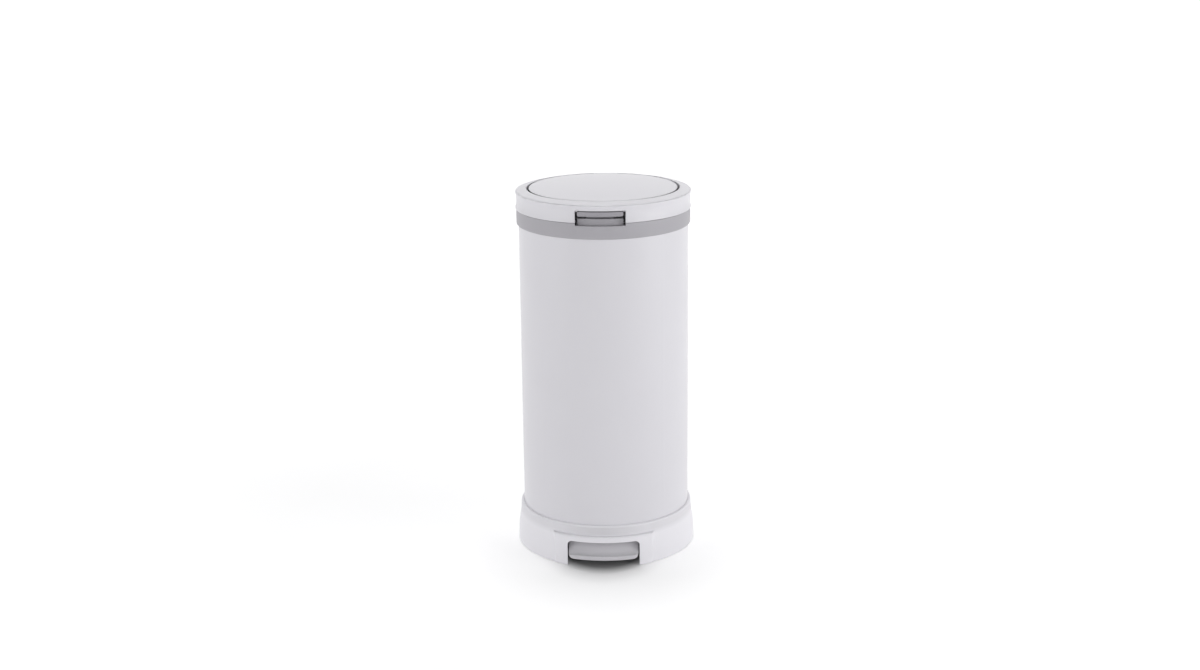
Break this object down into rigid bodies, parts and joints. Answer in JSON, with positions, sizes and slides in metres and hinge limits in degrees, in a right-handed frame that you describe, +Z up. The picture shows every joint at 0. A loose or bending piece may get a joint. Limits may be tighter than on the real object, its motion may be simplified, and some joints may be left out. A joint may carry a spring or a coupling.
{
  "type": "nappy bin",
  "caption": "Tall round pedal bin for nappies: white steel tube, moulded base with a wide front pedal, and a latched tilting top ring with a domed lid.",
  "frame": {"origin": "on the tube's axis at the floor, under the middle of the bin's bounding box", "axes": "+Z up along the tube, -Y towards the pedal and the latch, +X to the right as seen from behind"},
  "size_m": [0.31, 0.327, 0.6378],
  "materials": {
    "white_plastic": "satin moulded",
    "pale_plastic": "fine grained",
    "grey_plastic": "fine grained",
    "tread_plastic": "fine grained",
    "latch_plastic": "fine grained",
    "painted_tube": "satin powder coat",
    "zinc_steel": "zinc plated",
    "pin_steel": "ground",
    "black_rubber": "matt",
    "grey_rubber": "matt",
    "bearing_plastic": "smooth",
    "dark_plastic": "smooth",
    "scent_block": "pressed block"
  },
  "bodies": {
    "bin": {"base_shell": "white_plastic", "rubber_feet": "grey_rubber", "steel_tube": "painted_tube", "collar_band": "grey_plastic", "collar_gasket": "black_rubber", "bag_ring": "pale_plastic", "rod_cover": "pale_plastic", "rod_guides": "bearing_plastic", "pedal_shaft": "pin_steel", "shaft_clips": "zinc_steel", "hinge_pin": "pin_steel", "band_screws": "zinc_steel"},
    "push_rod": {"push_rod": "pin_steel", "rod_cap": "bearing_plastic"},
    "pedal": {"pedal_lever": "zinc_steel", "pedal_tread": "tread_plastic", "tread_screws": "zinc_steel"},
    "top_ring": {"frame_ring": "white_plastic", "throat_funnel": "pale_plastic", "funnel_screws": "zinc_steel", "damper_body": "dark_plastic", "latch_pin": "pin_steel", "latch_spring": "pin_steel"},
    "damper": {"damper_pinion": "bearing_plastic"},
    "latch": {"latch_tongue": "latch_plastic"},
    "lid": {"lid_dome": "white_plastic", "lid_liner": "pale_plastic", "lid_gasket": "black_rubber", "lid_arm": "white_plastic", "arm_screws": "zinc_steel", "deodoriser_cup": "pale_plastic", "deodoriser_puck": "scent_block"},
    "scent_cap": {"deodoriser_cap": "white_plastic"}
  },
  "joints": [
    {"name": "ring_hinge", "type": "hinge", "parent": "bin", "child": "top_ring", "pos_m": [0, 0.157, 0.608], "axis": [-1, 0, 0], "range_deg": [0, 80]},
    {"name": "lid_hinge", "type": "hinge", "parent": "top_ring", "child": "lid", "pos_m": [0, 0.157, 0.608], "axis": [-1, 0, 0], "range_deg": [0, 78]},
    {"name": "rod_lift", "type": "slide", "parent": "bin", "child": "push_rod", "axis": [0, 0, 1], "range_m": [0, 0.0279]},
    {"name": "pedal_pivot", "type": "hinge", "parent": "bin", "child": "pedal", "pos_m": [0, -0.067, 0.03], "axis": [1, 0, 0], "range_deg": [0, 7.87]},
    {"name": "damper_spin", "type": "hinge", "parent": "top_ring", "child": "damper", "pos_m": [0, 0.13542, 0.614], "axis": [-1, 0, 0], "range_deg": [-286.5, 0]},
    {"name": "latch_pivot", "type": "hinge", "parent": "top_ring", "child": "latch", "pos_m": [0, -0.1365, 0.618], "axis": [-1, 0, 0], "range_deg": [0, 8], "stiffness_Nm_per_rad": 0.5, "springref_deg": -11.46},
    {"name": "cap_turn", "type": "hinge", "parent": "lid", "child": "scent_cap", "pos_m": [0, 0, 0.6065], "axis": [0, 0, -1], "range_deg": [0, 40]}
  ],
  "couplings": [
    {"joint": "rod_lift", "follows": "lid_hinge", "m_per_rad": 0.02034},
    {"joint": "pedal_pivot", "follows": "lid_hinge", "ratio": 0.1002},
    {"joint": "damper_spin", "follows": "lid_hinge", "ratio": -3.6667}
  ]
}
